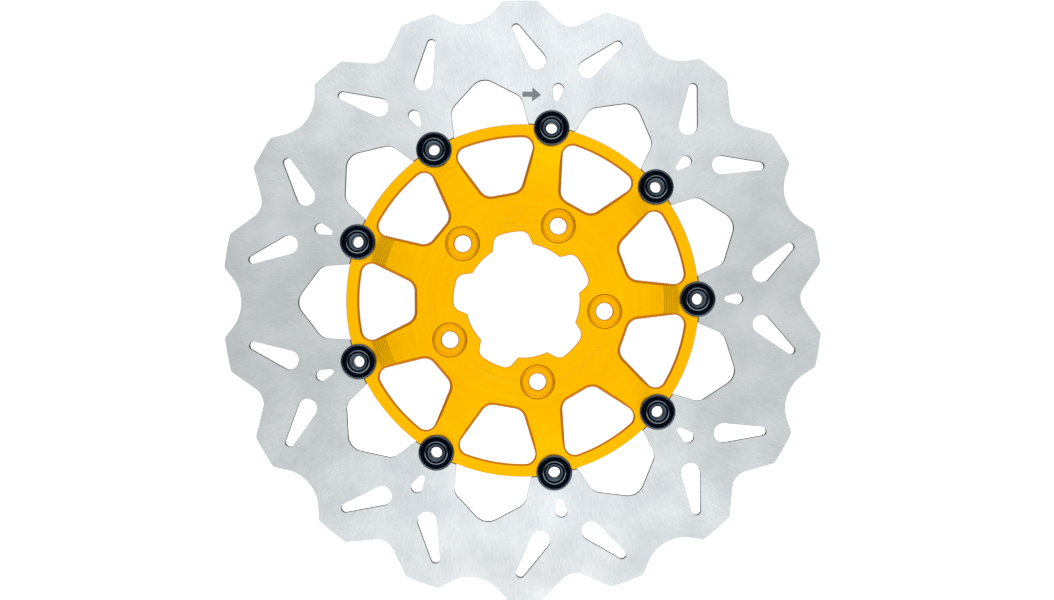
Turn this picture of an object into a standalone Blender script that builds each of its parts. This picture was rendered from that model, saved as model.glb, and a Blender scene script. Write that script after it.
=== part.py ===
"""Floating front brake disc of a motorcycle.

A steel friction ring with a wave-shaped edge hangs on an aluminium carrier by nine floating
bobbins. Behind the disc, each bobbin carries a wave washer, a flat washer and a circlip.

The disc turns about the Y axis, its outer side faces -Y, +Z is up, and the origin is the centre
of the friction ring, halfway through its thickness. Lengths in this file are millimetres, and
angles are degrees. Flat shapes are drawn as (x, z) points in the plane of the disc.
"""

from math import acos, atan2, cos, degrees, hypot, radians, sin, tan

import bmesh
import bpy
from mathutils import Matrix, Vector

MM = 0.001

# Pattern of the whole disc
BOBBINS = 9
SECTOR = 360 / BOBBINS
HUB_BOLTS = 5
BOLT_STEP = 360 / HUB_BOLTS
FIRST_BOLT = -2 * SECTOR

# Friction ring
RING_RADIUS = 150.0
RING_THICKNESS = 5.0
RING_FRONT = -RING_THICKNESS / 2
RING_BACK = RING_THICKNESS / 2
TAB_INNER_RADIUS = 88.9
TIP_CORNER = 2.5

# Valleys of the wave edge: radius at the bottom, rounding, slope of the flanks
DEEP_VALLEY = (138.9, 9.0, 34.4)
SHALLOW_VALLEY = (140.7, 20.0, 38.0)

# Vent slots and holes of the ring: two end circles, each (x, z, radius), in a sector's frame
VENT_SLOT = ((119.7, 12.9, 4.8), (134.0, 25.8, 2.2))
TAB_HOLE = ((107.4, 0.0, 2.85), (102.3, 0.0, 1.45))

# Scallops between the ring's tabs, in a frame whose x runs between two bobbins
SCALLOP_MOUTH = (86.9, 18.9)
SCALLOP_SHOULDER = (100.5, 18.0)
SCALLOP_SHOULDER_ROUND = 6.5
SCALLOP_TOP = (114.2, 0.0)
SCALLOP_TOP_ROUND = 8.0

# Carrier: the turned blank
CARRIER_RADIUS = 88.2
CARRIER_BACK = RING_BACK
HUB_FRONT = -5.5
HUB_FLAT_RADIUS = 56.5
RAMP_TOP_RADIUS = 70.5
RAMP_TOP = -4.9
RAMP_FOOT_RADIUS = 78.5
BLANK_BORE = 20.0
RIM_CHAMFER = 0.3

# Carrier: windows between the spokes
WINDOW_INNER = 53.9
WINDOW_INNER_HALF = 8.8
WINDOW_SIDE_ANGLE = 26.5
WINDOW_OUTER_RADIUS = 81.9
WINDOW_INNER_ROUND = 6.0
WINDOW_OUTER_ROUND = 5.0

# Carrier: centre bore, with five lands and five pockets, and the hub bolts
LAND_RADIUS = 28.6
POCKET_RADIUS = 34.7
POCKET_HALF_ANGLE = 21.0
POCKET_SIDE_ANGLE = 15.0
POCKET_ROUND = 4.5
BOLT_CIRCLE = 82.55
BOLT_HOLE = 8.4
SEAT_DEPTH = 1.2
SEAT_MOUTH = 17.4
SEAT_FLOOR = 15.2

# Bobbins and what they carry
BOBBIN_CIRCLE_RADIUS = 87.5
BOBBIN_BORE = 5.4
SHANK = 12.0
RUNNING_GAP = 0.3
FLANGE = 17.8
FLANGE_THICKNESS = 1.3
FLANGE_ROUND = 0.8
BOSS = 12.0
BOSS_HEIGHT = 0.6
BOSS_CHAMFER = 1.0
CONE_MOUTH = 9.2
WASHER_OUTER = 17.0
WASHER_INNER = SHANK + 2 * RUNNING_GAP
WAVE_HEIGHT = 0.25
WAVE_THICKNESS = 0.4
FLAT_WASHER_THICKNESS = 0.6
CIRCLIP_THICKNESS = 1.0
CIRCLIP_INNER = 11.2
CIRCLIP_OUTER = 15.0
CIRCLIP_GAP_ANGLE = 70.0
GROOVE = CIRCLIP_INNER - 2 * RUNNING_GAP
TAIL_LAND = 0.8

# Smoothness of round shapes
CARRIER_STEPS = 108
BOBBIN_STEPS = 20
FLAT_WASHER_STEPS = 16
WAVE_WASHER_STEPS = 24
HOLE_STEPS = 16
CIRCLIP_STEPS = 14
SLOT_STEPS = 8
SHARP_ANGLE = 30.0
CUTTER_MARGIN = 4.0

STEEL = ("ground_steel", (0.72, 0.74, 0.76), 0.32)
GOLD = ("gold_anodised_aluminium", (0.95, 0.52, 0.02), 0.34)
BLACK = ("black_anodised_aluminium", (0.025, 0.027, 0.03), 0.38)
SPRING_STEEL = ("spring_steel", (0.45, 0.46, 0.48), 0.36)
PHOSPHATED = ("phosphated_steel", (0.08, 0.08, 0.085), 0.5)


# Flat shapes


def polar(radius, angle):
    return (radius * cos(radians(angle)), radius * sin(radians(angle)))


def turned(points, angle):
    """The points turned about the disc's centre."""
    c, s = cos(radians(angle)), sin(radians(angle))
    return [(x * c - z * s, x * s + z * c) for x, z in points]


def mirrored(points):
    """The points on the other side of the x axis, in the order that carries an outline on."""
    return [(x, -z) for x, z in reversed(points)]


def arc(centre, radius, start, end, steps):
    """Points from the start angle to the end angle, both included."""
    angles = [start + (end - start) * i / steps for i in range(steps + 1)]
    return [(centre[0] + radius * cos(radians(a)), centre[1] + radius * sin(radians(a))) for a in angles]


def circle(centre, radius, steps):
    """A circle whose first point is half a step off the x axis, clear of the blank's own edges."""
    start = 180 / steps
    return arc(centre, radius, start, start + 360, steps)[:-1]


def rounded_corner(before, corner, after, radius, steps):
    """The arc that rounds a corner between two straight edges."""
    corner = Vector(corner)
    back = (Vector(before) - corner).normalized()
    ahead = (Vector(after) - corner).normalized()
    half = acos(back.dot(ahead)) / 2
    centre = corner + (back + ahead).normalized() * radius / sin(half)
    first = corner + back * radius / tan(half) - centre
    last = corner + ahead * radius / tan(half) - centre
    start = degrees(atan2(first.y, first.x))
    sweep = (degrees(atan2(last.y, last.x)) - start + 180) % 360 - 180
    return arc(centre, radius, start, start + sweep, steps)


def round_into_circle(point, heading, turn, radius, circle_radius, steps):
    """The arc that leaves a straight line and runs into a circle about the disc's centre.

    The line goes through the point at the heading, and the arc turns left (1) or right (-1).
    """
    ahead = Vector((cos(radians(heading)), sin(radians(heading))))
    side = Vector((-ahead.y, ahead.x)) * turn
    foot = Vector(point) + side * radius
    along = foot.dot(ahead)
    reach = (along**2 - foot.length_squared + (circle_radius - radius) ** 2) ** 0.5
    centre = foot + ahead * (reach - along)
    start = degrees(atan2(-side.y, -side.x))
    end = degrees(atan2(centre.y, centre.x))
    sweep = (end - start + 180) % 360 - 180
    return arc(centre, radius, start, start + sweep, steps)


def teardrop(wide_end, narrow_end, steps):
    """The outline drawn tight around two circles, each (x, z, radius)."""
    x, z = narrow_end[0] - wide_end[0], narrow_end[1] - wide_end[1]
    heading = degrees(atan2(z, x))
    spread = degrees(acos((wide_end[2] - narrow_end[2]) / hypot(x, z)))
    around_wide = arc(wide_end[:2], wide_end[2], heading + spread, heading + 360 - spread, steps)
    around_narrow = arc(narrow_end[:2], narrow_end[2], heading - spread, heading + spread, steps // 2)
    return around_wide + around_narrow


def valley_side(bottom_radius, rounding, slope):
    """Half a valley of the wave edge, from its bottom on the x axis to the tip's outer circle."""
    centre = (bottom_radius + rounding, 0)
    bottom = arc(centre, rounding, 180, 180 - slope, 3)
    corner = round_into_circle(bottom[-1], 90 - slope, 1, TIP_CORNER, RING_RADIUS, 3)
    return bottom + corner


def wave_edge():
    """The ring's outer outline: a deep valley at each bobbin, a shallow one between two."""
    deep = valley_side(*DEEP_VALLEY)
    shallow = valley_side(*SHALLOW_VALLEY)
    tip_start = degrees(atan2(deep[-1][1], deep[-1][0]))
    tip_end = SECTOR / 2 - degrees(atan2(shallow[-1][1], shallow[-1][0]))
    tip = arc((0, 0), RING_RADIUS, tip_start, tip_end, 4)
    first_half = deep + tip[1:-1] + turned(mirrored(shallow), SECTOR / 2)
    second_half = turned(mirrored(first_half), SECTOR)
    sector = first_half + second_half[1:-1]
    return [point for k in range(BOBBINS) for point in turned(sector, SECTOR * k)]


def tab_edge():
    """The ring's inner outline: a tab with half a bobbin seat, then a scallop, in each sector."""
    seat_radius = SHANK / 2 + RUNNING_GAP
    meet_x = (TAB_INNER_RADIUS**2 + BOBBIN_CIRCLE_RADIUS**2 - seat_radius**2) / (2 * BOBBIN_CIRCLE_RADIUS)
    seat_angle = degrees(acos((meet_x - BOBBIN_CIRCLE_RADIUS) / seat_radius))
    seat = arc((BOBBIN_CIRCLE_RADIUS, 0), seat_radius, 0, seat_angle, 5)
    low_mouth = (SCALLOP_MOUTH[0], -SCALLOP_MOUTH[1])
    low_shoulder = (SCALLOP_SHOULDER[0], -SCALLOP_SHOULDER[1])
    shoulder = rounded_corner(low_mouth, low_shoulder, SCALLOP_TOP, SCALLOP_SHOULDER_ROUND, 4)
    top = rounded_corner(low_shoulder, SCALLOP_TOP, SCALLOP_SHOULDER, SCALLOP_TOP_ROUND, 6)
    half_top = top[: len(top) // 2 + 1]
    half_scallop = [low_mouth] + shoulder + half_top
    first_half = seat + turned(half_scallop, SECTOR / 2)
    second_half = turned(mirrored(first_half), SECTOR)
    sector = first_half + second_half[1:-1]
    return [point for k in range(BOBBINS) for point in turned(sector, SECTOR * k)]


def window():
    """The outline of one carrier window, whose middle lies on the x axis."""
    inner_corner = (WINDOW_INNER, WINDOW_INNER_HALF)
    run = polar(WINDOW_OUTER_RADIUS - WINDOW_INNER, WINDOW_SIDE_ANGLE)
    side_point = (inner_corner[0] + run[0], inner_corner[1] + run[1])
    inner = rounded_corner((WINDOW_INNER, 0), inner_corner, side_point, WINDOW_INNER_ROUND, 5)
    outer = round_into_circle(
        side_point, WINDOW_SIDE_ANGLE, -1, WINDOW_OUTER_ROUND, WINDOW_OUTER_RADIUS, 6
    )
    end = degrees(atan2(outer[-1][1], outer[-1][0]))
    rim = arc((0, 0), WINDOW_OUTER_RADIUS, end, 0, 4)
    half = inner + outer + rim[1:]
    return half + mirrored(half)[1:]


def centre_bore():
    """The outline of the bore: a land at each hub bolt and a pocket between two bolts."""
    corner = polar(LAND_RADIUS, -POCKET_HALF_ANGLE)
    side = round_into_circle(corner, POCKET_SIDE_ANGLE, 1, POCKET_ROUND, POCKET_RADIUS, 5)
    start = degrees(atan2(side[-1][1], side[-1][0]))
    top = arc((0, 0), POCKET_RADIUS, start, 0, 3)
    half = [corner] + side + top[1:]
    pocket = half + mirrored(half)[1:]
    land = arc((0, 0), LAND_RADIUS, POCKET_HALF_ANGLE, BOLT_STEP - POCKET_HALF_ANGLE, 6)
    outline = pocket + land[1:-1]
    middle = FIRST_BOLT + BOLT_STEP / 2
    return [point for k in range(HUB_BOLTS) for point in turned(outline, middle + BOLT_STEP * k)]


# Solids


def outline_edges(bm, outline):
    """A closed loop of edges in the plane y = 0."""
    points = [bm.verts.new((x * MM, 0, z * MM)) for x, z in outline]
    return [bm.edges.new((points[i - 1], points[i])) for i in range(len(points))]


def fill_plate(bm, outlines, front, back):
    """A flat plate inside the first outline, with the others as holes through it."""
    edges = [edge for outline in outlines for edge in outline_edges(bm, outline)]
    flat = bmesh.ops.triangle_fill(bm, use_beauty=True, edges=edges)
    faces = [item for item in flat["geom"] if isinstance(item, bmesh.types.BMFace)]
    near = list({vert for face in faces for vert in face.verts})
    raised = bmesh.ops.extrude_face_region(bm, geom=faces)
    far = [item for item in raised["geom"] if isinstance(item, bmesh.types.BMVert)]
    bmesh.ops.translate(bm, vec=(0, front * MM, 0), verts=near)
    bmesh.ops.translate(bm, vec=(0, back * MM, 0), verts=far)


def spin_profile(bm, profile, steps, centre=(0, 0)):
    """The closed (radius, y) profile turned about an axis along Y through the centre."""
    points = [bm.verts.new(((centre[0] + radius) * MM, y * MM, centre[1] * MM)) for radius, y in profile]
    edges = [bm.edges.new((points[i - 1], points[i])) for i in range(len(points))]
    bmesh.ops.spin(
        bm,
        geom=points + edges,
        cent=(centre[0] * MM, 0, centre[1] * MM),
        axis=(0, 1, 0),
        angle=radians(360),
        steps=steps,
        use_merge=True,
    )


def finished_mesh(name, bm):
    """The mesh with its faces pointing out, smooth across shallow edges."""
    bmesh.ops.recalc_face_normals(bm, faces=bm.faces)
    mesh = bpy.data.meshes.new(name)
    bm.to_mesh(mesh)
    bm.free()
    mesh.shade_smooth()
    mesh.set_sharp_from_angle(angle=radians(SHARP_ANGLE))
    return mesh


def material(name, colour, roughness):
    made = bpy.data.materials.get(name)
    if made:
        return made
    made = bpy.data.materials.new(name)
    made.use_nodes = True
    shader = made.node_tree.nodes["Principled BSDF"]
    shader.inputs["Base Color"].default_value = (*colour, 1)
    shader.inputs["Metallic"].default_value = 1
    shader.inputs["Roughness"].default_value = roughness
    made.diffuse_color = (*colour, 1)
    return made


def add_object(name, mesh, look=None, parent=None):
    obj = bpy.data.objects.new(name, mesh)
    bpy.context.scene.collection.objects.link(obj)
    obj.parent = parent
    if look and not mesh.materials:
        mesh.materials.append(material(*look))
    return obj


def cut_away(obj, name, bm):
    """Removes the shapes in bm from the object, by a cutter that stays hidden."""
    cutter = add_object(name, finished_mesh(name, bm))
    cutter.hide_render = True
    cutter.display_type = "WIRE"
    boolean = obj.modifiers.new(name, "BOOLEAN")
    boolean.operation = "DIFFERENCE"
    boolean.solver = "EXACT"
    boolean.object = cutter


# Sub-parts


def friction_ring():
    outlines = [wave_edge(), tab_edge()]
    low_slot = [(x, -z, radius) for x, z, radius in VENT_SLOT]
    for k in range(BOBBINS):
        outlines.append(turned(teardrop(*VENT_SLOT, SLOT_STEPS), SECTOR * k))
        outlines.append(turned(teardrop(*low_slot, SLOT_STEPS), SECTOR * k))
        outlines.append(turned(teardrop(*TAB_HOLE, SLOT_STEPS), SECTOR * k))
    bm = bmesh.new()
    fill_plate(bm, outlines, RING_FRONT, RING_BACK)
    add_object("friction_ring", finished_mesh("friction_ring", bm), STEEL)


def carrier():
    """A turned blank whose hub stands proud of its rim, with everything else milled through it."""
    edge = CARRIER_RADIUS - RIM_CHAMFER
    profile = [
        (BLANK_BORE, HUB_FRONT),
        (HUB_FLAT_RADIUS, HUB_FRONT),
        (RAMP_TOP_RADIUS, RAMP_TOP),
        (RAMP_FOOT_RADIUS, RING_FRONT),
        (edge, RING_FRONT),
        (CARRIER_RADIUS, RING_FRONT + RIM_CHAMFER),
        (CARRIER_RADIUS, CARRIER_BACK - RIM_CHAMFER),
        (edge, CARRIER_BACK),
        (BLANK_BORE, CARRIER_BACK),
    ]
    bm = bmesh.new()
    spin_profile(bm, profile, CARRIER_STEPS)
    blank = add_object("carrier", finished_mesh("carrier", bm), GOLD)

    front, back = HUB_FRONT - CUTTER_MARGIN, CARRIER_BACK + CUTTER_MARGIN
    through = bmesh.new()
    fill_plate(through, [centre_bore()], front, back)
    for k in range(HUB_BOLTS):
        centre = polar(BOLT_CIRCLE / 2, FIRST_BOLT + BOLT_STEP * k)
        fill_plate(through, [circle(centre, BOLT_HOLE / 2, HOLE_STEPS)], front, back)
    for k in range(BOBBINS):
        fill_plate(through, [turned(window(), SECTOR * (k + 0.5))], front, back)
        seat = circle((BOBBIN_CIRCLE_RADIUS, 0), SHANK / 2 + RUNNING_GAP, BOBBIN_STEPS)
        fill_plate(through, [turned(seat, SECTOR * k)], front, back)
    cut_away(blank, "carrier_openings_cutter", through)

    seats = bmesh.new()
    flare = (SEAT_MOUTH - SEAT_FLOOR) / 2 / SEAT_DEPTH
    mouth = SEAT_MOUTH / 2 + flare * CUTTER_MARGIN
    floor = HUB_FRONT + SEAT_DEPTH
    for k in range(HUB_BOLTS):
        centre = polar(BOLT_CIRCLE / 2, FIRST_BOLT + BOLT_STEP * k)
        cone = bmesh.ops.create_cone(
            seats,
            cap_ends=True,
            segments=BOBBIN_STEPS,
            radius1=mouth * MM,
            radius2=SEAT_FLOOR / 2 * MM,
            depth=(SEAT_DEPTH + CUTTER_MARGIN) * MM,
        )
        middle = floor - (SEAT_DEPTH + CUTTER_MARGIN) / 2
        place = Matrix.Translation((centre[0] * MM, middle * MM, centre[1] * MM))
        bmesh.ops.transform(seats, matrix=place @ Matrix.Rotation(radians(-90), 4, "X"), verts=cone["verts"])
    cut_away(blank, "bolt_seats_cutter", seats)


def bobbin_stack():
    """Y of each face behind the disc, from the wave washer to the bobbin's tail."""
    wave_front = RING_BACK + RUNNING_GAP
    wave_back = wave_front + WAVE_THICKNESS + 2 * WAVE_HEIGHT
    flat_front = wave_back + RUNNING_GAP
    flat_back = flat_front + FLAT_WASHER_THICKNESS
    clip_front = flat_back + RUNNING_GAP
    clip_back = clip_front + CIRCLIP_THICKNESS
    return wave_front, flat_front, flat_back, clip_front, clip_back


def bobbin_mesh():
    """A hollow headed pin. Its head has a raised boss with a coned mouth."""
    flange_back = RING_FRONT - RUNNING_GAP
    flange_front = flange_back - FLANGE_THICKNESS
    boss_front = flange_front - BOSS_HEIGHT
    groove_front = bobbin_stack()[2]
    groove_back = bobbin_stack()[4] + RUNNING_GAP
    tail = groove_back + TAIL_LAND
    bore, shank, flange, boss = BOBBIN_BORE / 2, SHANK / 2, FLANGE / 2, BOSS / 2
    profile = [
        (bore, flange_back),
        (CONE_MOUTH / 2, boss_front),
        (boss - BOSS_CHAMFER, boss_front),
        (boss, flange_front),
        (flange - FLANGE_ROUND, flange_front),
        (flange, flange_front + FLANGE_ROUND),
        (flange, flange_back),
        (shank, flange_back),
        (shank, groove_front),
        (GROOVE / 2, groove_front),
        (GROOVE / 2, groove_back),
        (shank, groove_back),
        (shank, tail),
        (bore, tail),
    ]
    bm = bmesh.new()
    spin_profile(bm, profile, BOBBIN_STEPS)
    return finished_mesh("bobbin", bm)


def flat_washer_mesh():
    _, front, back, _, _ = bobbin_stack()
    inner, outer = WASHER_INNER / 2, WASHER_OUTER / 2
    bm = bmesh.new()
    profile = [(inner, front), (outer, front), (outer, back), (inner, back)]
    spin_profile(bm, profile, FLAT_WASHER_STEPS)
    return finished_mesh("flat_washer", bm)


def wave_washer_mesh():
    """A thin ring that rises and falls three times around, and springs the disc forward."""
    front = bobbin_stack()[0] + WAVE_HEIGHT
    back = front + WAVE_THICKNESS
    inner, outer = WASHER_INNER / 2, WASHER_OUTER / 2
    bm = bmesh.new()
    profile = [(inner, front), (outer, front), (outer, back), (inner, back)]
    spin_profile(bm, profile, WAVE_WASHER_STEPS)
    for vert in bm.verts:
        around = atan2(vert.co.z, vert.co.x)
        vert.co.y += WAVE_HEIGHT * sin(3 * around) * MM
    return finished_mesh("wave_washer", bm)


def circlip_mesh():
    """An open ring, whose gap faces away from the disc's centre."""
    _, _, _, front, back = bobbin_stack()
    half_gap = CIRCLIP_GAP_ANGLE / 2
    outer = arc((0, 0), CIRCLIP_OUTER / 2, half_gap, 360 - half_gap, CIRCLIP_STEPS)
    inner = arc((0, 0), CIRCLIP_INNER / 2, 360 - half_gap, half_gap, CIRCLIP_STEPS)
    bm = bmesh.new()
    fill_plate(bm, [outer + inner], front, back)
    return finished_mesh("circlip", bm)


def bobbins():
    """Nine bobbins with their washers and circlips, each set on an empty on the bobbin's axis."""
    pieces = [
        ("bobbin", bobbin_mesh(), BLACK),
        ("wave_washer", wave_washer_mesh(), SPRING_STEEL),
        ("flat_washer", flat_washer_mesh(), SPRING_STEEL),
        ("circlip", circlip_mesh(), PHOSPHATED),
    ]
    for k in range(BOBBINS):
        x, z = polar(BOBBIN_CIRCLE_RADIUS, SECTOR * k)
        axis = add_object(f"bobbin_axis_{k + 1}", None)
        axis.location = (x * MM, 0, z * MM)
        axis.rotation_euler = (0, radians(-SECTOR * k), 0)
        for name, mesh, look in pieces:
            add_object(f"{name}_{k + 1}", mesh, look, parent=axis)


def clear_scene():
    for obj in list(bpy.data.objects):
        bpy.data.objects.remove(obj)


clear_scene()
friction_ring()
carrier()
bobbins()
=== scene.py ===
"""The looks of a floating front brake disc.

A ground steel ring with a wave edge, a gold anodised carrier and nine black bobbins with their
washers and circlips, each drawn finely over its CAD solid. The disc turns about the Y axis and its
outer side faces -Y. Shapes are drawn in millimetres and become metres in the mesh. Flat shapes are
lists of (x, z) points in the plane of the disc, and angles are degrees.
"""

from math import acos, atan2, ceil, cos, degrees, hypot, pi, radians, sin, tan

import bmesh
import bpy
from mathutils import Matrix, Vector

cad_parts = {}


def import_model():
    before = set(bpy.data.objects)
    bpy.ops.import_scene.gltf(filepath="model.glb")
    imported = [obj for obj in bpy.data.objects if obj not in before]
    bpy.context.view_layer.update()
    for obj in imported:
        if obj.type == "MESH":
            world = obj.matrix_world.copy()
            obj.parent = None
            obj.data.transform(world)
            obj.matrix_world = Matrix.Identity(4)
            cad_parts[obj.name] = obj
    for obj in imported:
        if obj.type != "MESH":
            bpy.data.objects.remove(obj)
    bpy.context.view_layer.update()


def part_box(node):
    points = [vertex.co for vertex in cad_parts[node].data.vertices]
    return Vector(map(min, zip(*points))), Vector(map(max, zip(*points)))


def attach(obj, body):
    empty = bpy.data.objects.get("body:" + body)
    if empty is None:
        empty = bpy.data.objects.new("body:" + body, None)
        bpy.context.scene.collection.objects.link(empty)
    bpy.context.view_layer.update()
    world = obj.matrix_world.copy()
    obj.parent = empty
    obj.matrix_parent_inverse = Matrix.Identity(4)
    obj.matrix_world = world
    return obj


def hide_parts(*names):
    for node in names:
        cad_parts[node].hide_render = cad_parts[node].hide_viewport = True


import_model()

MM = 0.001


def level(node, side):
    """Y of a CAD node's front (0) or back (1), in millimetres."""
    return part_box(node)[side].y / MM


# Driving dimensions, as the CAD model has them unless a comment says otherwise
BOBBINS = 9
SECTOR = 360 / BOBBINS
HUB_BOLTS = 5
BOLT_STEP = 360 / HUB_BOLTS
FIRST_BOLT = -2 * SECTOR

RING_FRONT = level("friction_ring", 0)
RING_BACK = level("friction_ring", 1)
HUB_FRONT = level("carrier", 0)
CARRIER_BACK = level("carrier", 1)

RING_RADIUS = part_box("friction_ring")[1].z / MM
# The tabs reach 0.35 mm further in than the solid's, because the photo shows no gap there.
TAB_INNER_RADIUS = 88.55
TAB_CORNER = 0.9
TIP_CORNER = 2.5
# Valleys of the wave edge: radius of the bottom, its rounding and the slope of the sides
DEEP_VALLEY = (138.9, 9.0, 34.4)
SHALLOW_VALLEY = (140.7, 20.0, 38.0)
# Teardrops: x, z and radius of the wide end, then of the narrow end
VENT_SLOT = ((119.7, 12.9, 4.8), (134.0, 25.8, 2.2))
TAB_HOLE = ((107.4, 0.0, 2.85), (102.3, 0.0, 1.45))
# Corners of a scallop whose middle lies on the x axis
SCALLOP_MOUTH = (86.5, 18.93)
SCALLOP_SHOULDER = (100.5, 18.0)
SCALLOP_SHOULDER_ROUND = 6.5
SCALLOP_TOP = (114.2, 0.0)
SCALLOP_TOP_ROUND = 8.0

CARRIER_RADIUS = 88.2
HUB_FLAT_RADIUS = 56.5
RAMP_TOP_RADIUS = 70.5
RAMP_TOP = -4.9
RAMP_FOOT_RADIUS = 78.5
BLANK_BORE = 20.0
WINDOW_INNER = 53.9
WINDOW_INNER_HALF = 8.8
WINDOW_SIDE_ANGLE = 26.5
WINDOW_OUTER_RADIUS = 81.9
WINDOW_INNER_ROUND = 6.0
WINDOW_OUTER_ROUND = 5.0
LAND_RADIUS = 28.6
POCKET_RADIUS = 34.7
POCKET_HALF_ANGLE = 21.0
POCKET_SIDE_ANGLE = 15.0
POCKET_ROUND = 4.5
BOLT_CIRCLE = 82.55
BOLT_HOLE = 8.4
SEAT_DEPTH = 1.2
SEAT_MOUTH = 17.4
SEAT_FLOOR = 15.2

BOBBIN_CIRCLE_RADIUS = 87.5
SHANK = 12.0
FLANGE_THICKNESS = 1.3
RUNNING_GAP = 0.3
WASHER_INNER = 12.6
WASHER_OUTER = 17.0
SHEET_THICKNESS = 0.4

# Fine shapes that only the looks have
EDGE_BREAK = 0.2
RING_EDGE_BREAK = 0.12
SHEET_EDGE_BREAK = 0.08
WINDOW_CHAMFER = 1.4
RIM_CHAMFER = 0.8
BACK_CHAMFER = 0.5
TURNING_PITCH = 0.6
TURNING_DEPTH = 0.08
MARK_DEPTH = 0.2
# Rows of index dashes: radius, first angle, last angle and count
INDEX_ROWS = ((41.0, -128.0, -99.0, 11), (43.5, -64.0, -29.0, 14))

# Meshing
FULL_TURN_STEPS = 720
SMALL_TURN_STEPS = 96
DEGREES_PER_STEP = 6
WINDOW_SIDE_STEPS = 24
# Creases in the turned front have an extra edge this far to each side, for crisp shading.
CREASE_SUPPORT = 0.15
# Cutters pass each face of the carrier by this much.
CUT_OVERSHOOT = 1.0
# The carrier's blank is turned a little, so its edges miss the corners of the cutters.
BLANK_TURN = 0.13
WELD_METRES = 0.000003
SHARP_ANGLE = 30.0
CARRIER_SHARP_ANGLE = 12.0


# Flat shapes


def polar(radius, angle):
    return (radius * cos(radians(angle)), radius * sin(radians(angle)))


def turned(points, angle):
    """The points turned about the disc's centre."""
    c, s = cos(radians(angle)), sin(radians(angle))
    return [(x * c - z * s, x * s + z * c) for x, z in points]


def moved(points, centre):
    return [(x + centre[0], z + centre[1]) for x, z in points]


def mirrored(points):
    """The points on the other side of the x axis, in the order that carries an outline on."""
    return [(x, -z) for x, z in reversed(points)]


def arc(centre, radius, start, end, steps=None):
    """Points from the start angle to the end angle, both included."""
    steps = steps or max(2, ceil(abs(end - start) / DEGREES_PER_STEP))
    angles = [start + (end - start) * i / steps for i in range(steps + 1)]
    return moved([polar(radius, angle) for angle in angles], centre)


def circle(centre, radius, steps=SMALL_TURN_STEPS):
    return arc(centre, radius, 0, 360, steps)[:-1]


def rounded_corner(before, corner, after, radius):
    """The arc that rounds a corner between two straight edges."""
    corner = Vector(corner)
    back = (Vector(before) - corner).normalized()
    ahead = (Vector(after) - corner).normalized()
    half = acos(back.dot(ahead)) / 2
    centre = corner + (back + ahead).normalized() * radius / sin(half)
    first = corner + back * radius / tan(half) - centre
    last = corner + ahead * radius / tan(half) - centre
    start = degrees(atan2(first.y, first.x))
    sweep = (degrees(atan2(last.y, last.x)) - start + 180) % 360 - 180
    return arc(centre, radius, start, start + sweep)


def round_into_circle(point, heading, turn, radius, circle_radius):
    """The arc that leaves a straight line and runs into a circle about the disc's centre.

    The line goes through the point at the heading, and the arc turns left (1) or right (-1).
    """
    ahead = Vector((cos(radians(heading)), sin(radians(heading))))
    side = Vector((-ahead.y, ahead.x)) * turn
    foot = Vector(point) + side * radius
    along = foot.dot(ahead)
    reach = (along**2 - foot.length_squared + (circle_radius - radius) ** 2) ** 0.5
    centre = foot + ahead * (reach - along)
    start = degrees(atan2(-side.y, -side.x))
    end = degrees(atan2(centre.y, centre.x))
    sweep = (end - start + 180) % 360 - 180
    return arc(centre, radius, start, start + sweep)


def teardrop(wide_end, narrow_end):
    """The outline drawn tight around two circles, each (x, z, radius)."""
    x, z = narrow_end[0] - wide_end[0], narrow_end[1] - wide_end[1]
    heading = degrees(atan2(z, x))
    spread = degrees(acos((wide_end[2] - narrow_end[2]) / hypot(x, z)))
    around_wide = arc(wide_end[:2], wide_end[2], heading + spread, heading + 360 - spread)
    around_narrow = arc(narrow_end[:2], narrow_end[2], heading - spread, heading + spread)
    return around_wide + around_narrow


def all_round(sector, count, first=0.0):
    """One outline made of the same stretch repeated round the disc."""
    return [point for k in range(count) for point in turned(sector, first + 360 / count * k)]


def valley_side(bottom_radius, rounding, slope):
    """Half a valley of the wave edge, from its bottom on the x axis to the tip's outer circle."""
    centre = (bottom_radius + rounding, 0)
    bottom = arc(centre, rounding, 180, 180 - slope)
    corner = round_into_circle(bottom[-1], 90 - slope, 1, TIP_CORNER, RING_RADIUS)
    return bottom + corner


def wave_edge():
    """The ring's outer outline: a deep valley at each bobbin, a shallow one between two."""
    deep = valley_side(*DEEP_VALLEY)
    shallow = valley_side(*SHALLOW_VALLEY)
    tip_start = degrees(atan2(deep[-1][1], deep[-1][0]))
    tip_end = SECTOR / 2 - degrees(atan2(shallow[-1][1], shallow[-1][0]))
    tip = arc((0, 0), RING_RADIUS, tip_start, tip_end, 8)
    first_half = deep + tip[1:-1] + turned(mirrored(shallow), SECTOR / 2)
    second_half = turned(mirrored(first_half), SECTOR)
    return all_round(first_half + second_half[1:-1], BOBBINS)


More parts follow.
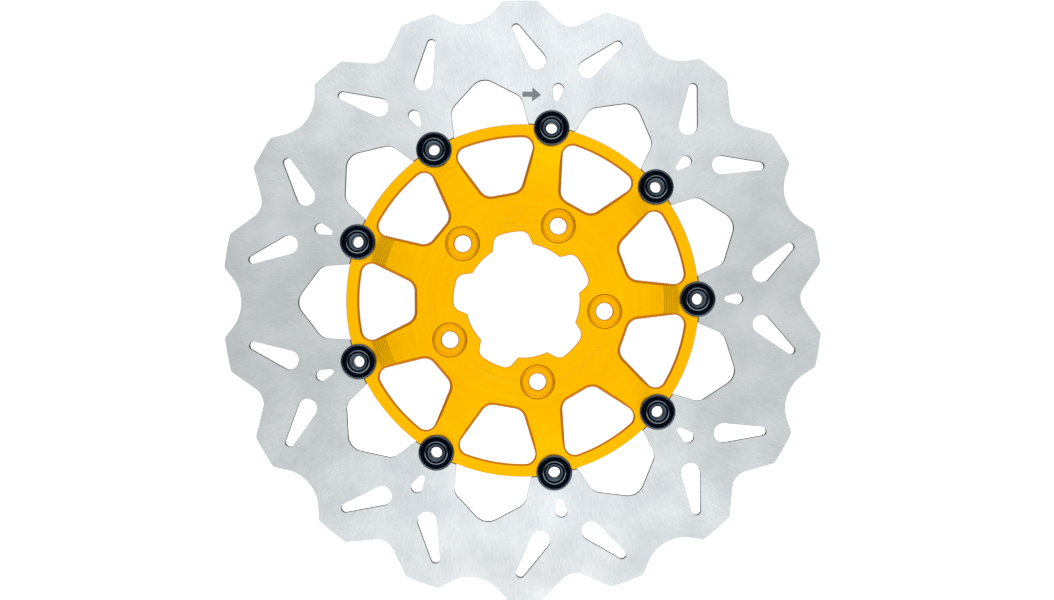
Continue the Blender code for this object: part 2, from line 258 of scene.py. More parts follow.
def tab_edge():
    """The ring's inner outline: a tab with half a bobbin seat, then a scallop, in each sector."""
    seat_radius = SHANK / 2 + RUNNING_GAP
    squares = TAB_INNER_RADIUS**2 + BOBBIN_CIRCLE_RADIUS**2 - seat_radius**2
    meet_x = squares / (2 * BOBBIN_CIRCLE_RADIUS)
    seat_angle = degrees(acos((meet_x - BOBBIN_CIRCLE_RADIUS) / seat_radius))
    seat = arc((BOBBIN_CIRCLE_RADIUS, 0), seat_radius, 0, seat_angle)
    low_mouth = (SCALLOP_MOUTH[0], -SCALLOP_MOUTH[1])
    low_shoulder = (SCALLOP_SHOULDER[0], -SCALLOP_SHOULDER[1])
    tab_middle = turned([seat[-1]], -SECTOR / 2)[0]
    corner = rounded_corner(tab_middle, low_mouth, low_shoulder, TAB_CORNER)
    shoulder = rounded_corner(low_mouth, low_shoulder, SCALLOP_TOP, SCALLOP_SHOULDER_ROUND)
    top = rounded_corner(low_shoulder, SCALLOP_TOP, SCALLOP_SHOULDER, SCALLOP_TOP_ROUND)
    top_half = [point for point in top if point[1] < 1e-6]
    half_scallop = corner + shoulder + top_half
    first_half = seat + turned(half_scallop, SECTOR / 2)
    second_half = turned(mirrored(first_half), SECTOR)
    return all_round(first_half + second_half[1:-1], BOBBINS)


def window():
    """The outline of one carrier window, whose middle lies on the x axis."""
    inner_corner = (WINDOW_INNER, WINDOW_INNER_HALF)
    # Any point further along the side will do.
    side_point = moved([polar(10, WINDOW_SIDE_ANGLE)], inner_corner)[0]
    inner = rounded_corner((WINDOW_INNER, 0), inner_corner, side_point, WINDOW_INNER_ROUND)
    outer = round_into_circle(
        side_point, WINDOW_SIDE_ANGLE, -1, WINDOW_OUTER_ROUND, WINDOW_OUTER_RADIUS
    )
    start, stop = Vector(inner[-1]), Vector(outer[0])
    side = [tuple(start.lerp(stop, i / WINDOW_SIDE_STEPS)) for i in range(1, WINDOW_SIDE_STEPS)]
    end = degrees(atan2(outer[-1][1], outer[-1][0]))
    rim = arc((0, 0), WINDOW_OUTER_RADIUS, end, 0, 10)
    half = inner + side + outer + rim[1:]
    return half + mirrored(half)[1:]


def centre_bore():
    """The outline of the bore: a land at each hub bolt and a pocket between two bolts."""
    corner = polar(LAND_RADIUS, -POCKET_HALF_ANGLE)
    side = round_into_circle(corner, POCKET_SIDE_ANGLE, 1, POCKET_ROUND, POCKET_RADIUS)
    start = degrees(atan2(side[-1][1], side[-1][0]))
    top = arc((0, 0), POCKET_RADIUS, start, 0, 6)
    half = [corner] + side + top[1:]
    pocket = half + mirrored(half)[1:]
    land = arc((0, 0), LAND_RADIUS, POCKET_HALF_ANGLE, BOLT_STEP - POCKET_HALF_ANGLE, 16)
    return all_round(pocket + land[1:-1], HUB_BOLTS, FIRST_BOLT + BOLT_STEP / 2)


def slab(length, width):
    """A rectangle about the origin, longer in x."""
    x, z = length / 2, width / 2
    return [(-x, -z), (x, -z), (x, z), (-x, z)]


def bolt_centres():
    return [polar(BOLT_CIRCLE / 2, FIRST_BOLT + BOLT_STEP * k) for k in range(HUB_BOLTS)]


def grown(outline, by):
    """The outline moved outwards at each point by a distance, or by a function of the point."""
    points = [Vector(point) for point in outline]
    area = sum(a.x * b.y - b.x * a.y for a, b in zip(points, points[1:] + points[:1]))
    side = 1 if area > 0 else -1
    made = []
    for i, point in enumerate(points):
        before = (point - points[i - 1]).normalized()
        after = (points[(i + 1) % len(points)] - point).normalized()
        along = (before + after).normalized()
        outward = Vector((along.y, -along.x)) * side
        distance = by(point) if callable(by) else by
        made.append(tuple(point + outward * distance / max(0.5, along.dot(after))))
    return made


# Solids


def ring_of_points(bm, outline, y):
    return [bm.verts.new((x * MM, y * MM, z * MM)) for x, z in outline]


def join_rings(bm, near, far, slot=0):
    for i in range(len(near)):
        face = bm.faces.new((near[i - 1], near[i], far[i], far[i - 1]))
        face.material_index = slot


def fill_cap(bm, rings):
    edges = [bm.edges.get((ring[i - 1], ring[i])) for ring in rings for i in range(len(ring))]
    bmesh.ops.triangle_fill(bm, use_beauty=True, edges=edges)


def plate(bm, outlines, front, back, edge_break=EDGE_BREAK):
    """A flat plate with broken edges, inside the first outline, with the others as holes."""
    levels = [
        (front, edge_break),
        (front + edge_break, 0),
        (back - edge_break, 0),
        (back, edge_break),
    ]
    rings = []
    for index, outline in enumerate(outlines):
        sign = -1 if index == 0 else 1
        rings.append([ring_of_points(bm, grown(outline, sign * inset), y) for y, inset in levels])
        for near, far in zip(rings[-1], rings[-1][1:]):
            join_rings(bm, near, far)
    fill_cap(bm, [ring[0] for ring in rings])
    fill_cap(bm, [ring[-1] for ring in rings])


def flared_cutter(bm, outline, levels, drop=None):
    """A solid to cut with: the outline, grown by its own amount at each (y, growth, slot) level.

    The growth is a distance or a function of the point. The slot is the material of the band
    between that level and the one before it. The drop, if there is one, tells how far the last
    two levels sink at a distance from the wheel axis.
    """
    rings = [ring_of_points(bm, grown(outline, growth), y) for y, growth, _ in levels]
    if drop:
        for ring in rings[-2:]:
            for vert, (x, z) in zip(ring, outline):
                vert.co.y += drop(hypot(x, z)) * MM
    for near, far, (_, _, slot) in zip(rings, rings[1:], levels[1:]):
        join_rings(bm, near, far, slot)
    bm.faces.new(rings[0])
    bm.faces.new(rings[-1])


def spin_profile(bm, profile, steps, centre=(0, 0), slots=None, closed=True):
    """The (radius, y) profile turned about an axis along Y through the centre.

    A closed profile makes a hollow body, an open one a solid body with flat ends.
    """
    rings = []
    for radius, y in profile:
        rings.append(ring_of_points(bm, circle(centre, radius, steps), y))
    pairs = list(zip(rings, rings[1:] + rings[:1])) if closed else list(zip(rings, rings[1:]))
    for index, (near, far) in enumerate(pairs):
        join_rings(bm, near, far, slots[index] if slots else 0)
    if not closed:
        bm.faces.new(rings[0])
        bm.faces.new(rings[-1])


def finished_mesh(name, bm, looks, sharp=SHARP_ANGLE):
    bmesh.ops.recalc_face_normals(bm, faces=bm.faces)
    mesh = bpy.data.meshes.new(name)
    bm.to_mesh(mesh)
    bm.free()
    mesh.shade_smooth()
    mesh.set_sharp_from_angle(angle=radians(sharp))
    for look in looks:
        mesh.materials.append(look)
    return mesh


def add_piece(name, mesh):
    piece = bpy.data.objects.new(name, mesh)
    bpy.context.scene.collection.objects.link(piece)
    return piece


def stand_for(piece, node, body):
    """The piece takes the place of a CAD node and moves with its body."""
    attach(piece, body)
    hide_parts(node)


# Materials


class Graph:
    """A node tree, with short calls for the nodes in it."""

    def __init__(self, tree):
        self.tree = tree

    def put(self, socket, value):
        if isinstance(value, bpy.types.NodeSocket):
            self.tree.links.new(value, socket)
        else:
            socket.default_value = value

    def node(self, kind, output, inputs=(), **settings):
        """A node with its settings made and its inputs fed, and one of its outputs."""
        made = self.tree.nodes.new(kind)
        for key, value in settings.items():
            setattr(made, key, value)
        for key, value in dict(inputs).items():
            self.put(made.inputs[key], value)
        return made.outputs[output]

    def math(self, operation, a, b=0.0):
        return self.node("ShaderNodeMath", 0, {0: a, 1: b}, operation=operation)

    def add(self, a, b):
        return self.math("ADD", a, b)

    def times(self, a, b):
        return self.math("MULTIPLY", a, b)

    def vector(self, x, y, z):
        return self.node("ShaderNodeCombineXYZ", 0, {"X": x, "Y": y, "Z": z})

    def noise(self, vector, scale, detail=2.0):
        inputs = {"Vector": vector, "Scale": scale, "Detail": detail}
        return self.node("ShaderNodeTexNoise", "Fac", inputs)

    def between(self, value, low, high, out_low, out_high, **settings):
        """The value's place from low to high, told again from out_low to out_high."""
        inputs = {"Value": value, "From Min": low, "From Max": high}
        inputs.update({"To Min": out_low, "To Max": out_high})
        return self.node("ShaderNodeMapRange", "Result", inputs, **settings)

    def ease(self, value, *limits):
        """As between, but it starts and stops gently."""
        return self.between(value, *limits, interpolation_type="SMOOTHSTEP")

    def blend(self, amount, first, second):
        made = self.tree.nodes.new("ShaderNodeMix")
        made.data_type = "RGBA"
        self.put(made.inputs["Factor"], amount)
        self.put(made.inputs["A"], (*first, 1) if isinstance(first, tuple) else first)
        self.put(made.inputs["B"], (*second, 1) if isinstance(second, tuple) else second)
        return made.outputs["Result"]

    def x_and_z(self, where):
        split = self.node("ShaderNodeSeparateXYZ", "X", {"Vector": where}).node
        return split.outputs["X"], split.outputs["Z"]


class Look(Graph):
    """A material of one Principled shader, and the nodes that feed it."""

    def __init__(self, name, colour, metallic, roughness):
        self.material = bpy.data.materials.new(name)
        self.material.use_nodes = True
        super().__init__(self.material.node_tree)
        self.shader = self.tree.nodes["Principled BSDF"]
        self.feed("Base Color", (*colour, 1))
        self.feed("Metallic", metallic)
        self.feed("Roughness", roughness)

    def feed(self, name, value):
        self.put(self.shader.inputs[name], value)

    def where(self):
        return self.node("ShaderNodeTexCoord", "Object")

    def place(self):
        """The point, its x and z, its distance from the wheel axis and its angle round it."""
        where = self.where()
        x, z = self.x_and_z(where)
        radius = self.math("SQRT", self.add(self.times(x, x), self.times(z, z)))
        return where, x, z, radius, self.math("ARCTAN2", z, x)

    def bump(self, height, distance):
        return self.node("ShaderNodeBump", "Normal", {"Height": height, "Distance": distance})


def grinding_arcs(look, radius, angle, side, fineness):
    """Scratches left by a rotary surface grinder: arcs that cross the ring nearly along its radius.

    Each arc belongs to a wheel of one radius whose centre keeps one distance from the disc's axis,
    so the wheel's angle about the axis names the arc that a point lies on. Both are in metres, as
    the shader's coordinates are.
    """
    wheel, offset, stretch = 0.200, 0.2175, 0.4
    top = look.add(look.times(radius, radius), offset**2 - wheel**2)
    bottom = look.times(radius, 2 * offset)
    swing = look.math("ARCCOSINE", look.math("DIVIDE", top, bottom))
    around = look.add(angle, look.times(swing, side))
    cosine, sine = look.math("COSINE", around), look.math("SINE", around)
    return look.noise(look.vector(cosine, sine, look.times(radius, stretch)), fineness, 3.0)


def ground_steel():
    """The ring's faces: fine scratches that cross, broad grinding bands and faint stains."""
    look = Look("ground_steel", (0.66, 0.69, 0.71), 1.0, 0.3)
    where, _, _, radius, angle = look.place()
    scratch_fineness, band_fineness, stain_fineness = 700, 60, 45
    one_way = grinding_arcs(look, radius, angle, 1, scratch_fineness)
    other_way = grinding_arcs(look, radius, angle, -1, scratch_fineness)
    broad = grinding_arcs(look, radius, angle, 1, band_fineness)
    scratches = look.add(look.times(one_way, 0.6), look.times(other_way, 0.4))
    stains = look.noise(where, stain_fineness, 3.0)
    mixed = look.add(look.times(scratches, 0.9), look.times(broad, 0.1))
    tone = look.add(look.times(mixed, 0.6), look.times(stains, 0.4))
    shade = look.between(tone, 0.41, 0.59, 0.0, 1.0)
    look.feed("Base Color", look.blend(shade, (0.575, 0.61, 0.63), (0.715, 0.75, 0.77)))
    look.feed("Roughness", look.between(mixed, 0.3, 0.7, 0.22, 0.28))
    look.feed("Normal", look.bump(scratches, 0.000008))
    look.feed("Anisotropic", 0.75)
    look.feed("Anisotropic Rotation", 0.25)
    look.feed("Tangent", look.node("ShaderNodeTangent", 0, direction_type="RADIAL", axis="Y"))
    return look.material


def cut_steel():
    """The lasered and broken edges of the ring."""
    look = Look("cut_steel_edge", (0.07, 0.08, 0.1), 0.8, 0.5)
    grain = look.noise(look.where(), 900, 2.0)
    look.feed("Roughness", look.between(grain, 0.3, 0.7, 0.42, 0.56))
    look.feed("Specular Tint", (0.15, 0.17, 0.2, 1))
    look.feed("Base Color", look.blend(grain, (0.05, 0.06, 0.075), (0.09, 0.10, 0.12)))
    return look.material


def gold(name, pale, deep, roughness, turning=1.0, metallic=1.0):
    """Anodised aluminium, between a pale and a deep gold: turned rings, faint streaks and clouds.

    The turning is how strong the rings are, 1 for a face straight off the lathe.
    """
    look = Look(name, pale, metallic, roughness)
    where, x, z, radius, _ = look.place()
    rings = look.noise(look.vector(radius, 0.0, 0.0), 2600, 2.0)
    wide_rings = look.noise(look.vector(radius, 0.3, 0.0), 420, 1.0)
    streaks = look.noise(look.vector(look.add(x, z), look.times(x, 0.12), 0.0), 700, 3.0)
    clouds = look.noise(where, 34, 4.0)
    tone = look.add(look.times(rings, 0.3), look.times(wide_rings, 0.3))
    tone = look.add(look.add(tone, look.times(streaks, 0.15)), look.times(clouds, 0.25))
    look.feed("Base Color", look.blend(look.between(tone, 0.36, 0.64, 0.0, 1.0), deep, pale))
    look.feed("Roughness", look.between(rings, 0.3, 0.7, roughness - 0.04, roughness + 0.05))
    look.feed("Specular Tint", (1.0, 0.5, 0.02, 1))
    look.feed("Normal", look.bump(rings, 0.00001 * turning))
    return look.material


def black(name, colour, roughness, metallic):
    """Black anodising with a cool sheen, or, when metallic, a lighter copy that paints highlight
    lines.
    """
    look = Look(name, colour, metallic, roughness)
    grain = look.noise(look.where(), 1500, 2.0)
    look.feed("Base Color", look.blend(grain, colour, tuple(c * 1.2 for c in colour)))
    look.feed("Roughness", look.between(grain, 0.3, 0.7, roughness - 0.02, roughness + 0.03))
    look.feed("Specular IOR Level", 0.05)
    look.feed("Specular Tint", (0.1, 0.45, 1.0, 1) if metallic == 0 else (1, 1, 1, 1))
    return look.material


def plain_steel(name, colour, roughness):
    look = Look(name, colour, 1.0, roughness)
    grain = look.noise(look.where(), 700, 3.0)
    look.feed("Base Color", look.blend(grain, tuple(c * 0.85 for c in colour), colour))
    look.feed("Roughness", look.between(grain, 0.3, 0.7, roughness - 0.06, roughness + 0.06))
    return look.material


STEEL_FACE = ground_steel()
STEEL_EDGE = cut_steel()
GOLD_FACE = gold("gold_anodised_turned", (1.0, 0.555, 0.0), (0.955, 0.45, 0.0), 0.42)
# Painted shade: a darker, duller copy of the gold for chamfers, bore edges, seat lines and mark
# walls.
GOLD_CHAMFER_PAINTED_SHADE = gold("gold_anodised_chamfer_painted_shade", (0.68, 0.242, 0.0), (0.61, 0.2, 0.0), 0.55, 0.3, 0.35)
GOLD_MARK = gold("gold_anodised_engraved", (1.0, 0.62, 0.01), (1.0, 0.56, 0.01), 0.5, 0.3)
# Painted shade: a darker copy of the gold for the bolt seats' floors.
GOLD_SEAT_PAINTED_SHADE = gold("gold_anodised_bolt_seat_painted_shade", (0.96, 0.49, 0.0), (0.88, 0.40, 0.0), 0.40)
BOBBIN_FLAT = black("black_anodised_face", (0.0002, 0.0010, 0.0032), 0.38, 0.0)
# Painted highlight: a lighter metallic copy of the black, on thin bands of the bobbins.
BOBBIN_PAINTED_HIGHLIGHT = black("black_anodised_painted_highlight", (0.23, 0.29, 0.35), 0.26, 1.0)
WASHER_STEEL = plain_steel("spring_steel_sheet", (0.55, 0.56, 0.58), 0.32)
ETCHED = plain_steel("etched_steel", (0.25, 0.275, 0.29), 0.5)
CLIP_STEEL = plain_steel("phosphated_steel", (0.09, 0.09, 0.095), 0.48)


# Pieces


def friction_ring():
    outlines = [wave_edge(), tab_edge()]
    low_slot = [(x, -z, radius) for x, z, radius in VENT_SLOT]
    for k in range(BOBBINS):
        for ends in (VENT_SLOT, low_slot, TAB_HOLE):
            outlines.append(turned(teardrop(*ends), SECTOR * k))
    bm = bmesh.new()
    plate(bm, outlines, RING_FRONT, RING_BACK, RING_EDGE_BREAK)
    bm.normal_update()
    for face in bm.faces:
        face.material_index = 0 if abs(face.normal.y) > 0.5 else 1
    mesh = finished_mesh("ring_ground_disc", bm, [STEEL_FACE, STEEL_EDGE])
    piece = add_piece("ring_ground_disc", mesh)
    stand_for(piece, "friction_ring", "friction_ring")


def rotation_arrow():
    """An etched arrow on one tab that shows which way the disc turns."""
    radius, shaft_half, head_half = 103.2, 1.3, 3.6
    start, neck, tip = 89.6, 86.9, 84.4
    head = [polar(radius + head_half, neck), polar(radius, tip), polar(radius - head_half, neck)]
    outline = arc((0, 0), radius + shaft_half, start, neck, 4) + head
    outline += arc((0, 0), radius - shaft_half, neck, start, 4)
    stands_out, reaches_in, edge_break = 0.02, 0.05, 0.01
    bm = bmesh.new()
    plate(bm, [outline], RING_FRONT - stands_out, RING_FRONT + reaches_in, edge_break)
    piece = add_piece("rotation_arrow_etched", finished_mesh("rotation_arrow_etched", bm, [ETCHED]))
    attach(piece, "friction_ring")


# Corners of the carrier's turned front, between hub, slight cone, ramp and rim: radius and y
FRONT_CORNERS = [
    (HUB_FLAT_RADIUS, HUB_FRONT),
    (RAMP_TOP_RADIUS, RAMP_TOP),
    (RAMP_FOOT_RADIUS, RING_FRONT),
]


def front_profile():
    """The carrier's turned front from its bore out, with fine turned lines on the ramp."""
    profile = [(BLANK_BORE, HUB_FRONT)]
    cone_slope = (RAMP_TOP - HUB_FRONT) / (RAMP_TOP_RADIUS - HUB_FLAT_RADIUS)
    ramp_slope = (RING_FRONT - RAMP_TOP) / (RAMP_FOOT_RADIUS - RAMP_TOP_RADIUS)
    slopes = [0, cone_slope, ramp_slope, 0]
    for (radius, y), before, after in zip(FRONT_CORNERS, slopes, slopes[1:]):
        profile.append((radius - CREASE_SUPPORT, y - CREASE_SUPPORT * before))
        profile.append((radius + CREASE_SUPPORT, y + CREASE_SUPPORT * after))
        if radius == RAMP_TOP_RADIUS:
            count = int((RAMP_FOOT_RADIUS - RAMP_TOP_RADIUS) / TURNING_PITCH)
            for i in range(1, count):
                out = i * TURNING_PITCH
                profile.append((radius + out, y + out * ramp_slope + TURNING_DEPTH * (i % 2)))
    return profile


def carrier_blank():
    edge = CARRIER_RADIUS - EDGE_BREAK
    profile = front_profile() + [
        (edge, RING_FRONT),
        (CARRIER_RADIUS, RING_FRONT + EDGE_BREAK),
        (CARRIER_RADIUS, CARRIER_BACK - EDGE_BREAK),
        (edge, CARRIER_BACK),
        (BLANK_BORE, CARRIER_BACK),
    ]
    bm = bmesh.new()
    spin_profile(bm, profile, FULL_TURN_STEPS)
    bmesh.ops.rotate(bm, verts=bm.verts, matrix=Matrix.Rotation(radians(BLANK_TURN), 3, "Y"))
    mesh = finished_mesh("carrier_machined", bm, [GOLD_FACE], CARRIER_SHARP_ANGLE)
    return add_piece("carrier_machined", mesh)


def cut_away(piece, name, bm, looks):
    cutter = add_piece(name, finished_mesh(name, bm, looks))
    boolean = piece.modifiers.new(name, "BOOLEAN")
    boolean.operation = "DIFFERENCE"
    boolean.solver = "EXACT"
    boolean.material_mode = "TRANSFER"
    boolean.object = cutter
    return cutter


def bake_modifiers(piece, helpers, sharp):
    """Gives the piece its mesh as the modifiers leave it, welded closed, without the helpers."""
    graph = bpy.context.evaluated_depsgraph_get()
    mesh = bpy.data.meshes.new_from_object(piece.evaluated_get(graph))
    bm = bmesh.new()
    bm.from_mesh(mesh)
    bmesh.ops.remove_doubles(bm, verts=bm.verts, dist=WELD_METRES)
    open_edges = [edge for edge in bm.edges if edge.is_boundary]
    bmesh.ops.holes_fill(bm, edges=open_edges, sides=4)
    bm.to_mesh(mesh)
    bm.free()
    piece.modifiers.clear()
    piece.data = mesh
    mesh.shade_smooth()
    mesh.set_sharp_from_angle(angle=radians(sharp))
    for helper in helpers:
        bpy.data.objects.remove(helper)


def front_drop(radius):
    """How far the carrier's turned front lies behind the hub's face at a radius."""
    if radius <= HUB_FLAT_RADIUS:
        return 0.0
    for (near, high), (far, low) in zip(FRONT_CORNERS, FRONT_CORNERS[1:]):
        if radius <= far:
            return high + (low - high) * (radius - near) / (far - near) - HUB_FRONT
    return RING_FRONT - HUB_FRONT


def window_chamfer(point):
    """The chamfer's width at a point of a window's edge: wide at the spokes, narrow at the rim."""
    out = (point.length - RAMP_TOP_RADIUS) / (RAMP_FOOT_RADIUS - RAMP_TOP_RADIUS)
    return WINDOW_CHAMFER + (RIM_CHAMFER - WINDOW_CHAMFER) * min(1.0, max(0.0, out))


def engraved_marks():
    """Cutters of plain marks in the hub's face: rows of index dashes, and a ring over two bars."""
    bm = bmesh.new()
    low, deep = HUB_FRONT - CUT_OVERSHOOT, HUB_FRONT + MARK_DEPTH
    # Slot 1, the darker copy of the gold, paints the marks' walls as painted shade.
    ends = [(low, 0, 1), (deep, 0, 1)]
    stroke, dash_length, dash_lean, bar_length = 0.6, 3.0, 20, 7.0
    for radius, first, last, count in INDEX_ROWS:
        dash = moved(turned(slab(dash_length, stroke), dash_lean), (radius, 0))
        for i in range(count):
            flared_cutter(bm, turned(dash, first + (last - first) * i / (count - 1)), ends)
    centre, inner, outer = polar(46.5, 99), 4.6, 5.3
    profile = [(inner, low), (outer, low), (outer, deep), (inner, deep)]
    spin_profile(bm, profile, 48, centre, [0, 1, 0, 1])
    for below_ring in (4.2, 2.2):
        bar = moved(slab(bar_length, stroke), (centre[0], centre[1] - outer - below_ring))
        flared_cutter(bm, bar, ends)
    return bm


def carrier():
    """The carrier with its windows, bore, bobbin seats, bolt holes and marks cut out of a blank."""
    piece = carrier_blank()
    front, back = HUB_FRONT - CUT_OVERSHOOT, CARRIER_BACK + CUT_OVERSHOOT
    # Slot 1 paints chamfers and edge lines, and slot 2 the bolt seats' floors, each in a darker
    # copy of the gold as painted shade.
    face, chamfer, seat = 0, 1, 2

    def flare(point):
        """The window cutter's growth at its front, where it has overshot the chamfer."""
        return (CUT_OVERSHOOT + WINDOW_CHAMFER) * window_chamfer(point) / WINDOW_CHAMFER

    windows = bmesh.new()
    levels = [
        (back, BACK_CHAMFER + CUT_OVERSHOOT, chamfer),
        (CARRIER_BACK - BACK_CHAMFER, 0, chamfer),
        (HUB_FRONT + WINDOW_CHAMFER, 0, face),
        (front, flare, chamfer),
    ]
    for k in range(BOBBINS):
        flared_cutter(windows, turned(window(), SECTOR * (k + 0.5)), levels, front_drop)
    cutters = [cut_away(piece, "window_cutter", windows, [GOLD_FACE, GOLD_CHAMFER_PAINTED_SHADE])]

    bore = bmesh.new()
    levels = [
        (back, EDGE_BREAK + CUT_OVERSHOOT, chamfer),
        (CARRIER_BACK - EDGE_BREAK, 0, chamfer),
        (HUB_FRONT + EDGE_BREAK, 0, face),
        (front, EDGE_BREAK + CUT_OVERSHOOT, chamfer),
    ]
    flared_cutter(bore, centre_bore(), levels)
    for k in range(BOBBINS):
        outline = circle(polar(BOBBIN_CIRCLE_RADIUS, SECTOR * k), SHANK / 2 + RUNNING_GAP)
        flared_cutter(bore, outline, [(back, 0, face), (front, 0, face)])
    cutters.append(cut_away(piece, "bore_cutter", bore, [GOLD_FACE, GOLD_CHAMFER_PAINTED_SHADE]))

    bolts = bmesh.new()
    hole, floor = BOLT_HOLE / 2, HUB_FRONT + SEAT_DEPTH
    wall, mouth = SEAT_FLOOR / 2, SEAT_MOUTH / 2
    # The seat slot paints the seats' floors darker as painted shade, and the chamfer slot paints
    # the seat's edge lines.
    stations = [
        (hole + EDGE_BREAK + CUT_OVERSHOOT, back, face),
        (hole, CARRIER_BACK - EDGE_BREAK, chamfer),
        (hole, floor + 2 * EDGE_BREAK, face),
        (hole + 2 * EDGE_BREAK, floor, chamfer),
        (wall - 0.30, floor - 0.15, seat),
        (wall - 0.15, floor - 0.05, seat),
        (wall, floor - 0.35, seat),
        (mouth - 0.45, floor - 0.55, seat),
        (mouth - 0.35, floor - 0.05, chamfer),
        (mouth - 0.10, floor - 0.05, chamfer),
        (mouth, HUB_FRONT, chamfer),
        (mouth + 0.05, front, chamfer),
    ]
    profile = [(radius, y) for radius, y, _ in stations]
    slots = [slot for _, _, slot in stations[1:]]
    for centre in bolt_centres():
        spin_profile(bolts, profile, SMALL_TURN_STEPS, centre, slots, closed=False)
    cutters.append(cut_away(piece, "bolt_cutter", bolts, [GOLD_FACE, GOLD_CHAMFER_PAINTED_SHADE, GOLD_SEAT_PAINTED_SHADE]))
    cutters.append(cut_away(piece, "mark_cutter", engraved_marks(), [GOLD_MARK, GOLD_CHAMFER_PAINTED_SHADE]))

    bake_modifiers(piece, cutters, CARRIER_SHARP_ANGLE)
    stand_for(piece, "carrier", "carrier")


def bobbin_mesh():
    """A hollow headed pin.

    From the bore out, its head has a cone, a dark groove, a raised dark ring, a flat band and a
    rounded rim; the cone, the ring's edge, two thin lines near the rim and the tail's edges are
    painted highlights in a lighter metallic copy of the black. Its tail has a groove for the
    circlip.
    """
    back = level("bobbin_1", 1)
    flange_back = RING_FRONT - RUNNING_GAP
    flange = flange_back - FLANGE_THICKNESS
    groove_front = level("flat_washer_1", 1)
    groove_back = level("circlip_1", 1) + RUNNING_GAP
    bore, rim, shank, groove_floor, tail_break = 2.80, 8.90, SHANK / 2, 5.30, 0.25
    # The bright slot paints highlights in a lighter metallic copy of the black.
    dark, bright = 0, 1
    stations = [
        (bore, flange_back + 0.3, dark),
        (2.95, flange_back + 0.1, bright),
        (4.30, flange - 0.05, bright),
        (4.50, flange + 0.25, dark),
        (4.95, flange + 0.25, dark),
        (5.05, flange - 0.50, dark),
        (5.20, flange - 0.60, dark),
        (5.35, flange - 0.58, dark),
        (5.70, flange - 0.30, bright),
        (5.95, flange - 0.03, dark),
        (6.10, flange, dark),
        (8.05, flange, dark),
        (8.15, flange + 0.03, dark),
        (8.28, flange + 0.11, bright),
        (8.44, flange + 0.27, dark),
        (8.60, flange + 0.36, dark),
        (8.74, flange + 0.50, bright),
        (rim, flange + 0.80, dark),
        (rim, flange_back - 0.15, dark),
        (rim - 0.15, flange_back, dark),
        (shank, flange_back, dark),
        (shank, groove_front, dark),
        (groove_floor, groove_front, dark),
        (groove_floor, groove_back, dark),
        (shank, groove_back, dark),
        (shank, back - tail_break, dark),
        (shank - tail_break, back, bright),
        (bore + 0.3, back, dark),
        (bore, back - 0.3, bright),
    ]
    profile = [(radius, y) for radius, y, _ in stations]
    slots = [slot for _, _, slot in stations[1:]] + [dark]
    bm = bmesh.new()
    spin_profile(bm, profile, SMALL_TURN_STEPS, slots=slots)
    return finished_mesh("bobbin_turned", bm, [BOBBIN_FLAT, BOBBIN_PAINTED_HIGHLIGHT])


def washer_outlines():
    return [circle((0, 0), WASHER_OUTER / 2), circle((0, 0), WASHER_INNER / 2)]


def flat_washer_mesh():
    bm = bmesh.new()
    edge_break = 0.1
    front, back = level("flat_washer_1", 0), level("flat_washer_1", 1)
    plate(bm, washer_outlines(), front, back, edge_break)
    return finished_mesh("flat_washer_pressed", bm, [WASHER_STEEL])


def wave_washer_mesh():
    """A thin ring that rises and falls three times around."""
    low, high = level("wave_washer_1", 0), level("wave_washer_1", 1)
    waves, height = 3, (high - low - SHEET_THICKNESS) / 2
    front = low + height
    bm = bmesh.new()
    plate(bm, washer_outlines(), front, front + SHEET_THICKNESS, SHEET_EDGE_BREAK)
    for vert in bm.verts:
        vert.co.y += height * sin(waves * atan2(vert.co.z, vert.co.x)) * MM
    return finished_mesh("wave_washer_spring", bm, [WASHER_STEEL])


def circlip_mesh():
    """An open ring, widest opposite its opening, with an eye for pliers at each end."""
    start, end, steps = 32.0, 328.0, 60
    inner_radius, narrow_radius, widening = 5.6, 7.0, 0.5
    ear_height, ear_length = 1.5, 22
    eye_circle, eye_radius, eye_from_end, eye_steps = 7.1, 0.75, 11, 20

    def outer_radius(angle):
        from_end = min(angle - start, end - angle)
        ear = ear_height * max(0.0, 1 - (from_end / ear_length) ** 2)
        return narrow_radius + widening * (1 - cos(radians(angle))) / 2 + ear

    angles = [start + (end - start) * i / steps for i in range(steps + 1)]
    outer = [polar(outer_radius(angle), angle) for angle in angles]
    inner = [polar(inner_radius, angle) for angle in reversed(angles)]
    outlines = [outer + inner]
    for angle in (start + eye_from_end, end - eye_from_end):
        outlines.append(circle(polar(eye_circle, angle), eye_radius, eye_steps))
    bm = bmesh.new()
    plate(bm, outlines, level("circlip_1", 0), level("circlip_1", 1), SHEET_EDGE_BREAK)
    return finished_mesh("circlip_sprung", bm, [CLIP_STEEL])


def bobbin_sets():
    """Each bobbin with its washers and circlip, which all turn with it."""
    pieces = [
        ("bobbin", "turned", bobbin_mesh(), "bobbin_black"),
        ("wave_washer", "spring", wave_washer_mesh(), "washer_steel"),
        ("flat_washer", "pressed", flat_washer_mesh(), "washer_steel"),
        ("circlip", "sprung", circlip_mesh(), "circlip_steel"),
    ]
    for k in range(BOBBINS):
        x, z = polar(BOBBIN_CIRCLE_RADIUS, SECTOR * k)
        for node, word, mesh, slot in pieces:
            piece = add_piece(f"{node}_{word}_{k + 1}", mesh)
            piece.location = (x * MM, 0, z * MM)
            piece.rotation_euler = (0, radians(-SECTOR * k), 0)
            stand_for(piece, f"{node}_{k + 1}", f"bobbin_{k + 1}")


# Studio


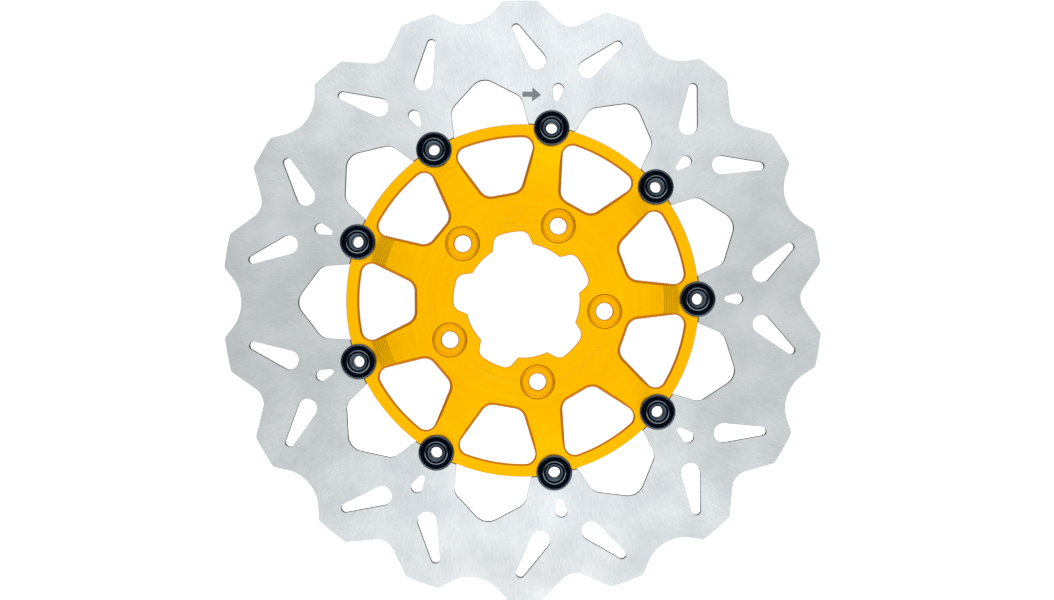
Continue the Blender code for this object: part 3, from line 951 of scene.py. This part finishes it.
def world():
    """A pale room, brighter above the disc and just below it, and dimmer elsewhere.

    The camera itself sees plain white.
    """
    made = bpy.data.worlds.new("studio")
    made.use_nodes = True
    bpy.context.scene.world = made
    room = Graph(made.node_tree)
    x, z = room.x_and_z(room.node("ShaderNodeTexCoord", "Generated"))
    aside = room.math("ABSOLUTE", x)
    # The bright parts above and below draw apart towards the sides.
    spread = room.times(aside, 0.35)
    above = room.ease(room.math("SUBTRACT", z, spread), -0.05, 0.45, 1.0, 1.87)
    just_below = room.ease(room.add(z, spread), -0.23, -0.09, 1.9, 1.0)
    low_down = room.ease(z, -0.5, -0.34, 0.62, 1.0)
    overhead = room.ease(z, 0.6, 0.95, 1.0, 0.55)
    beside = room.ease(aside, 0.02, 0.5, 1.0, 0.64)
    far_beside = room.ease(aside, 0.55, 0.95, 1.0, 0.2)
    brighter_right = room.add(room.times(x, 0.19), 0.94)
    light = room.times(room.times(above, overhead), room.times(beside, far_beside))
    light = room.times(room.times(light, room.times(just_below, low_down)), brighter_right)
    seen = room.node("ShaderNodeLightPath", "Is Camera Ray")
    lit = room.times(light, room.math("SUBTRACT", 1.0, seen))
    background = room.tree.nodes["Background"]
    room.put(background.inputs["Strength"], room.add(lit, room.times(seen, 1.05)))
    room.put(background.inputs["Color"], (1, 1, 1, 1))


def pale_sheet(name, low, corners, glow):
    """A level pale sheet that looks white and lights the disc with some glow of its own."""
    bm = bmesh.new()
    bm.faces.new([bm.verts.new((x, y, low)) for x, y in corners])
    look = Look(name, (0.8, 0.8, 0.8), 0.0, 0.8)
    clouds = look.noise(look.where(), 3, 2.0)
    look.feed("Base Color", look.blend(clouds, (0.78, 0.78, 0.78), (0.82, 0.82, 0.82)))
    look.feed("Emission Color", (1, 1, 1, 1))
    seen = look.node("ShaderNodeLightPath", "Is Camera Ray")
    look.feed("Emission Strength", look.between(seen, 0.0, 1.0, glow, 1.0))
    add_piece(name, finished_mesh(name, bm, [look.material]))


def floor():
    """A plain pale floor that the lowest tips just touch, with a brighter card in front of it."""
    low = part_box("friction_ring")[0].z
    half_width, card_front, disc, back = 2.0, -0.12, RING_FRONT * MM, 2.0
    for name, near, far, glow in (
        ("floor", disc, back, 0.3),
        ("bright_card", card_front, disc, 0.7),
    ):
        corners = [(-half_width, near), (half_width, near), (half_width, far), (-half_width, far)]
        pale_sheet(name, low, corners, glow)


def camera():
    """Square on to the outer side, a metre away, a touch right of the wheel axis and above it."""
    distance, view_width, right, up, roll = 1.0, 0.527, 0.0022, 0.00025, 0.45
    cam = bpy.data.cameras.new("camera")
    cam.sensor_width = 36.0
    cam.lens = cam.sensor_width * distance / view_width
    obj = bpy.data.objects.new("camera", cam)
    obj.location = (right, RING_FRONT * MM - distance, up)
    obj.rotation_euler = (pi / 2, radians(roll), 0)
    bpy.context.scene.collection.objects.link(obj)
    bpy.context.scene.camera = obj


friction_ring()
rotation_arrow()
carrier()
bobbin_sets()
world()
floor()
camera()
bpy.context.scene.view_settings.view_transform = "Standard"
